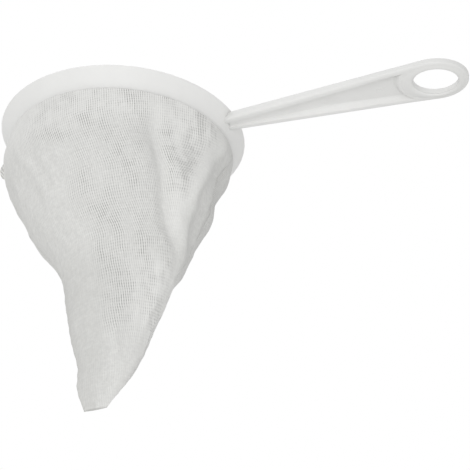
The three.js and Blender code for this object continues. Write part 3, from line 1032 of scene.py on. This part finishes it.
    def depths(self) -> np.ndarray:
        """Spaces the mesh's rows, closer together where the cloth leaves the hoop and at the tip.

        Returns:
            Depths in millimetres.
        """
        edge = self.hoop_edge_mm
        start = edge + self.edge_run_mm + self.row_gap_mm
        even = np.linspace(0, 1, self.rows + 1)
        hanging = start + (even - self.row_bias * np.sin(FULL_TURN * even)) * (self.depth_mm - start)
        return np.concatenate([np.linspace(self.top_mm, edge - self.row_gap_mm, self.clamp_rows),
                               np.linspace(edge, edge + self.edge_run_mm, self.edge_rows), hanging])

    def yarns(self, points: np.ndarray) -> np.ndarray:
        """Lays the weave's grain on a panel, turned as it was cut.

        Args:
            points: the panel's vertices in metres, as rows and columns.

        Returns:
            Millimetres across and along the yarns for each vertex, one to a row.
        """
        across = np.linalg.norm(np.diff(points, axis=1), axis=2).cumsum(1)
        across = np.concatenate([np.zeros((len(points), 1)), across], 1)
        across = (across - across[:, -1:] / 2) / MM
        middle = points[:, self.columns // 2]
        steps = np.linalg.norm(np.diff(middle, axis=0), axis=1)
        down = np.concatenate([[0], steps.cumsum()])[:, None] / MM
        cosine, sine = math.cos(self.grain_turn), math.sin(self.grain_turn)
        return np.stack([across * cosine - down * sine, across * sine + down * cosine], -1).reshape(-1, 2)

    def measures(self, side: np.ndarray, depth: np.ndarray) -> dict[Measure, np.ndarray]:
        """Measures places on the cloth in all the ways that zones need.

        Args:
            side: angle from the right-hand seam, in radians, negative over the front.
            depth: millimetres below the hoop's top edge.

        Returns:
            Each measure at each place.
        """
        azimuth = self.azimuth(side)
        lap = LAP_FOLD.azimuth(depth)
        left = self.open_left + sum(height * rising(depth, *run) for height, *run in self.open_left_steps)
        height, *run = self.open_past_lap_step
        right = lap + self.open_past_lap + height * rising(depth, *run)
        wave = np.sin(np.radians(azimuth * self.patch_waves + self.patch_turn))
        wave = wave + self.patch_sway * np.sin(depth / self.patch_sway_mm)
        behind = np.abs(azimuth - self.back_middle) < self.back_half
        return {
            Measure.AZIMUTH: azimuth,
            Measure.PAST_LEFT: azimuth - left,
            Measure.PAST_RIGHT: azimuth - right,
            Measure.PAST_LAP: azimuth - lap,
            Measure.PAST_RIDGE: azimuth - RIDGE_FOLD.azimuth(depth),
            Measure.PATCH: np.where(behind, wave, -1),
            Measure.FROM_SEAM: np.abs(side),
            Measure.DEPTH: depth,
        }

    def shares(self, side: np.ndarray, depth: np.ndarray) -> dict[str, np.ndarray]:
        """Gives how far the weave stands open, and where the cloth gets painted light and shade.

        Args:
            side: angle from the right-hand seam, in radians, negative over the front.
            depth: millimetres below the hoop's top edge.

        Returns:
            Name of the attribute to its values: open from 0 to 1.5, painted light up to 1, painted shade to
                -1.
        """
        at = self.measures(side, depth)
        opened, pull, painted_light_shade = (sum(zone.over(at) for zone in zones)
                              for zones in (OPEN_ZONES, PULL_ZONES, LIGHT_SHADE_ZONES))
        # The ridge's crest gets a painted highlight, too.
        from_crest = (at[Measure.PAST_RIDGE] - self.crest_past_ridge) / self.crest_width
        painted_light_shade = painted_light_shade + self.crest_highlight * np.exp(-(from_crest**2)) * falling(depth, *self.crest_end_mm)
        return {self.open_map: np.clip(opened, 0, self.open_most) * pull,
                self.light_shade_map: np.clip(painted_light_shade, -1, 1)}

    def panel(self, which: Panel, finish: bpy.types.Material) -> bpy.types.Object:
        """Builds one panel of cloth.

        Args:
            which: front or back.
            finish: material of the cloth.

        Returns:
            The panel, a sheet with the cloth's thickness.
        """
        side, depth = np.broadcast_arrays(
            which.value * np.linspace(0, math.pi, self.columns + 1)[None, :], self.depths()[:, None])
        points = self.surface(side, depth)
        wide = self.columns + 1
        faces = []
        for row in range(len(points) - 1):
            for column in range(self.columns):
                at = row * wide + column
                quad = (at, at + 1, at + wide + 1, at + wide)
                faces.append(quad if which is Panel.FRONT else quad[::-1])
        cloth = piece_from(f"{which.name.lower()}_cloth", (points.reshape(-1, 3), faces), finish)
        corners = np.empty(len(cloth.data.loops), np.int32)
        cloth.data.loops.foreach_get("vertex_index", corners)
        grain = cloth.data.uv_layers.new(name=self.grain_map)
        grain.uv.foreach_set("vector", self.yarns(points)[corners].astype(np.float32).ravel())
        for name, values in self.shares(side, depth).items():
            layer = cloth.data.attributes.new(name, "FLOAT", "POINT")
            layer.data.foreach_set("value", values.astype(np.float32).ravel())
        thick = cloth.modifiers.new("cloth", "SOLIDIFY")
        thick.thickness = self.cloth_mm * MM
        thick.offset = -1
        return cloth

    def build(self, finish: bpy.types.Material, stitching: list[bpy.types.Object]) -> list[bpy.types.Object]:
        """Builds both panels.

        Args:
            finish: material of the cloth.
            stitching: pieces of thread that go with the cloth. It is not used.

        Returns:
            The panels.
        """
        panels = []
        for which in Panel:
            panel = self.panel(which, finish)
            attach(panel, "bag")
            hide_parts(f"{which.name.lower()}_panel")
            panels.append(panel)
        return panels


@dataclass
class Stitching:
    """The bag's thread work: the mouth's hem, the seam and the seam's tail.

    Spans of two sizes are across the cloth first, and then along or through it.
    """

    bag: FilterBag
    thread_mm: float = 0.34
    thread_sides: int = 5
    stitch_points: int = 12
    hem_pitch_mm: float = 2.2
    hem_height_mm: float = -3.15
    hem_loop_mm: Span = (0.46, 1.3)
    chain_out_mm: float = 0.44
    chain_height_mm: float = -4.2
    chain_sway_mm: float = 0.3
    allowance_mm: float = 3.6
    allowance_share: float = 0.55
    allowance_half_mm: float = 0.42
    allowance_half_share: float = 0.12
    seam_start_mm: float = 2.5
    seam_end_mm: float = 149.0
    seam_gap_mm: float = 0.15
    seam_rows: int = 260
    seam_sway_mm: Span = (0.35, 7.0)
    seam_calm_mm: float = 20.0
    seam_stitches: int = 62
    seam_loop_mm: Span = (1.2, 0.62)
    seam_loop_inset_mm: float = 1.1
    tail_depth_mm: float = 17.8
    tail_size_mm: Span = (2.8, 10.9)
    tail_root_mm: float = 0.6
    tail_curve: Span = (2.4, 0.7)
    tail_half_mm: float = 0.4
    tail_points: int = 72
    tail_strands: int = 3
    tail_sides: int = 6
    tail_twist: float = 8.0
    strand_out_mm: float = 0.28
    strand_radius_mm: float = 0.27

    def hem(self) -> MeshParts:
        """Shapes the overlock that binds the mouth's raw edge.

        Returns:
            Vertices and faces of its threads.
        """
        radius = STATIONS[0].half_width - self.bag.cloth_mm / 2
        stitches = round(FULL_TURN * radius / self.hem_pitch_mm)
        turn = np.linspace(0, FULL_TURN, stitches * self.stitch_points, endpoint=False)
        wrap = turn * stitches
        # Each line's radius and height, and the step between the points that it needs.
        lines = [(radius + self.hem_loop_mm[0] * np.cos(wrap),
                  self.hem_height_mm + self.hem_loop_mm[1] * np.sin(wrap), 1)]
        for way in (-1, 1):
            lines.append((radius + way * self.chain_out_mm,
                          self.chain_height_mm + self.chain_sway_mm * np.sin(wrap), 2))
        parts = []
        for out, height, step in lines:
            path = np.stack([out * np.cos(turn), out * np.sin(turn), height], -1) * MM
            parts.append(tube(path[::step], self.thread_mm / 2 * MM, self.thread_sides, True))
        return joined(parts)

    def seam(self) -> MeshParts:
        """Shapes the seam's turned-in allowance and its stitching, down both edges of the bag.

        Returns:
            Vertices and faces of the allowances and threads.
        """
        bag = self.bag
        depth = np.linspace(bag.hoop_edge_mm + self.seam_start_mm, self.seam_end_mm, self.seam_rows)
        wide, _, deep = bag.section(depth)
        reach = np.minimum(self.allowance_mm, self.allowance_share * wide)[:, None] * MM
        half = np.minimum(self.allowance_half_mm, self.allowance_half_share * deep)[:, None] * MM
        sway = self.seam_sway_mm[0] * np.sin(depth / self.seam_sway_mm[1])
        sway = (sway * np.clip(wide / self.seam_calm_mm, 0, 1))[:, None] * MM
        rows = np.arange(len(depth))
        run = np.linspace(0, rows[-1], self.seam_stitches * self.stitch_points)
        wrap = (np.arange(len(run)) * FULL_TURN / self.stitch_points)[:, None]
        parts = []
        for side, way in ((0.0, -1), (math.pi, 1)):
            edge = bag.surface(np.full_like(depth, side), depth, bag.cloth_mm + self.seam_gap_mm)
            inward = np.array([way * math.cos(bag.seam_turn), way * math.sin(bag.seam_turn), 0.0])
            beside = np.array([-inward[1], inward[0], 0.0])
            thick = half * beside
            inner = edge + reach * inward + sway * beside
            parts.append(bar(np.stack([edge + thick, inner + thick, inner - thick, edge - thick], 1)))
            at = np.stack([np.interp(run, rows, inner[:, axis]) for axis in range(3)], -1)
            loops = at + (self.seam_loop_mm[0] * np.cos(wrap) - self.seam_loop_inset_mm) * MM * inward
            loops = loops + self.seam_loop_mm[1] * np.sin(wrap) * MM * beside
            parts.append(tube(loops, self.thread_mm / 2 * MM, self.thread_sides))
        return joined(parts)

    def tail(self) -> MeshParts:
        """Shapes the seam's end, a small tab bound with thread, under the hoop on the left.

        Returns:
            Vertices and faces of the tab and its threads.
        """
        turn = self.bag.seam_turn
        reach, height = self.tail_size_mm
        along = np.linspace(-1, 1, self.tail_points)
        depth = self.tail_depth_mm + height / 2 * along
        root = self.bag.surface(np.full_like(along, math.pi), depth, self.tail_root_mm)
        outward = np.array([-math.cos(turn), -math.sin(turn), 0.0])
        beside = np.array([outward[1], -outward[0], 0.0])
        out = reach * (1 - np.abs(along) ** self.tail_curve[0]) ** self.tail_curve[1]
        rim = root + ((self.tail_root_mm + out) * MM)[:, None] * outward
        thick = self.tail_half_mm * MM * beside
        parts = [bar(np.stack([root + thick, rim + thick, rim - thick, root - thick], 1))]
        for strand in range(self.tail_strands):
            twist = (along * self.tail_twist + strand * FULL_TURN / self.tail_strands)[:, None]
            line = rim + self.strand_out_mm * MM * (np.cos(twist) * outward + np.sin(twist) * beside)
            parts.append(tube(line, self.strand_radius_mm * MM, self.tail_sides))
        return joined(parts)

    def build(self, finish: bpy.types.Material) -> list[bpy.types.Object]:
        """Builds the thread work.

        Args:
            finish: material of the thread.

        Returns:
            The hem, the seam and its tail.
        """
        pieces = []
        for name, shape, node in (("hem_stitching", self.hem, "hem_overlock"),
                                  ("seam_stitching", self.seam, "side_seam"),
                                  ("seam_end", self.tail, "seam_tail")):
            piece = piece_from(name, shape(), finish)
            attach(piece, "bag")
            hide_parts(node)
            pieces.append(piece)
        return pieces


@dataclass(frozen=True)
class Lamp:
    """A soft box: where it stands, what it points at, its side and its power."""

    name: str
    place: tuple[float, float, float]
    aim: tuple[float, float, float]
    side: float
    power: float


@dataclass
class Studio:
    """Floor, soft light, pale surroundings and the camera."""

    floor_z: float = -0.19
    floor_half: float = 12.0
    surroundings: Span = (0.54, 0.82)
    bright_side: tuple[float, float, float] = (-0.906, -0.422, 0.0)
    lens_mm: float = 160.0
    sensor_mm: float = 36.0
    azimuth: float = math.radians(24.985)
    elevation: float = math.radians(-32.579)
    roll: float = math.radians(3.854)
    place: tuple[float, float, float] = (0.409751, -0.741433, -0.591899)
    lamps: tuple[Lamp, ...] = (
        Lamp("key", (0.333, -1.026, -0.526), (-0.4, 0.0, -0.05), 0.7, 5.0),
        Lamp("top", (0.1, 0.3, 1.2), (0.05, 0.0, -0.05), 1.0, 3.0),
    )

    def floor(self) -> None:
        """Lays the paper under the bag's lowest pose."""
        half = self.floor_half
        corners = np.array([[x, y, self.floor_z] for x, y in (
            (-half, -half), (half, -half), (half, half), (-half, half))])
        floor = piece_from("floor", (corners, [(0, 1, 2, 3)]), PaperSweep().material())
        floor.visible_shadow = False

    def hang_lamps(self) -> None:
        """Hangs the soft boxes."""
        for lamp in self.lamps:
            data = bpy.data.lights.new(lamp.name, "AREA")
            data.size = lamp.side
            data.energy = lamp.power
            box = bpy.data.objects.new(lamp.name, data)
            aim = Vector(lamp.aim) - Vector(lamp.place)
            turn = aim.to_track_quat("-Z", "Y").to_matrix().to_4x4()
            box.matrix_world = Matrix.Translation(lamp.place) @ turn
            bpy.context.scene.collection.objects.link(box)

    def surround(self) -> None:
        """Sets the pale surroundings, which light the object and look white."""
        world = bpy.data.worlds.new("pale_surroundings")
        world.use_nodes = True
        tree = world.node_tree
        tree.nodes.clear()
        # The surroundings are paler on the left of the photograph than on its right.
        toward = add_node(tree, "ShaderNodeTexCoord").outputs["Generated"]
        toward = add_node(tree, "ShaderNodeVectorMath", {
            0: toward, 1: self.bright_side}, operation="DOT_PRODUCT").outputs["Value"]
        around = add_node(tree, "ShaderNodeMapRange", {
            "Value": toward, "From Min": -1.0, "To Min": self.surroundings[0],
            "To Max": self.surroundings[1]})
        strength = add_node(tree, "ShaderNodeMapRange", {
            "Value": rays_that_show(tree), "To Min": around, "To Max": 1.0})
        glow = add_node(tree, "ShaderNodeBackground", {"Color": (1.0, 1.0, 1.0, 1.0), "Strength": strength})
        add_node(tree, "ShaderNodeOutputWorld", {"Surface": glow})
        bpy.context.scene.world = world

    def camera(self) -> None:
        """Sets the camera at the photograph's place and angle."""
        across = Vector((math.cos(self.azimuth), math.sin(self.azimuth), 0))
        back = Vector((math.sin(self.azimuth) * math.cos(self.elevation),
                       -math.cos(self.azimuth) * math.cos(self.elevation), math.sin(self.elevation)))
        upward = back.cross(across)
        right = math.cos(self.roll) * across + math.sin(self.roll) * upward
        upward = math.cos(self.roll) * upward - math.sin(self.roll) * across
        data = bpy.data.cameras.new("camera")
        data.lens = self.lens_mm
        data.sensor_width = self.sensor_mm
        data.sensor_fit = "HORIZONTAL"
        eye = bpy.data.objects.new("camera", data)
        turn = Matrix((right, upward, back)).transposed().to_4x4()
        eye.matrix_world = Matrix.Translation(self.place) @ turn
        bpy.context.scene.collection.objects.link(eye)
        bpy.context.scene.camera = eye

    def build(self) -> None:
        """Builds the whole studio."""
        bpy.context.scene.view_settings.view_transform = "Standard"
        self.floor()
        self.hang_lamps()
        self.surround()
        self.camera()


def main() -> None:
    """Builds the strainer's looks and the studio."""
    logging.basicConfig(level=logging.INFO, format="%(name)s: %(message)s")
    plastic = MouldedPolypropylene().material()
    moulding = Moulding()
    bag = FilterBag()
    flannel = WovenFlannel().material(bag.grain_map, bag.open_map, bag.light_shade_map)
    pieces = moulding.dress(plastic) + moulding.build(plastic)
    stitching = Stitching(bag).build(SpunThread().material())
    pieces += stitching + bag.build(flannel, stitching)
    for piece in pieces:
        log.info("%s: %d faces", piece.name, len(piece.data.polygons))
    Studio().build()
    bpy.context.view_layer.update()


if __name__ == "__main__":
    main()
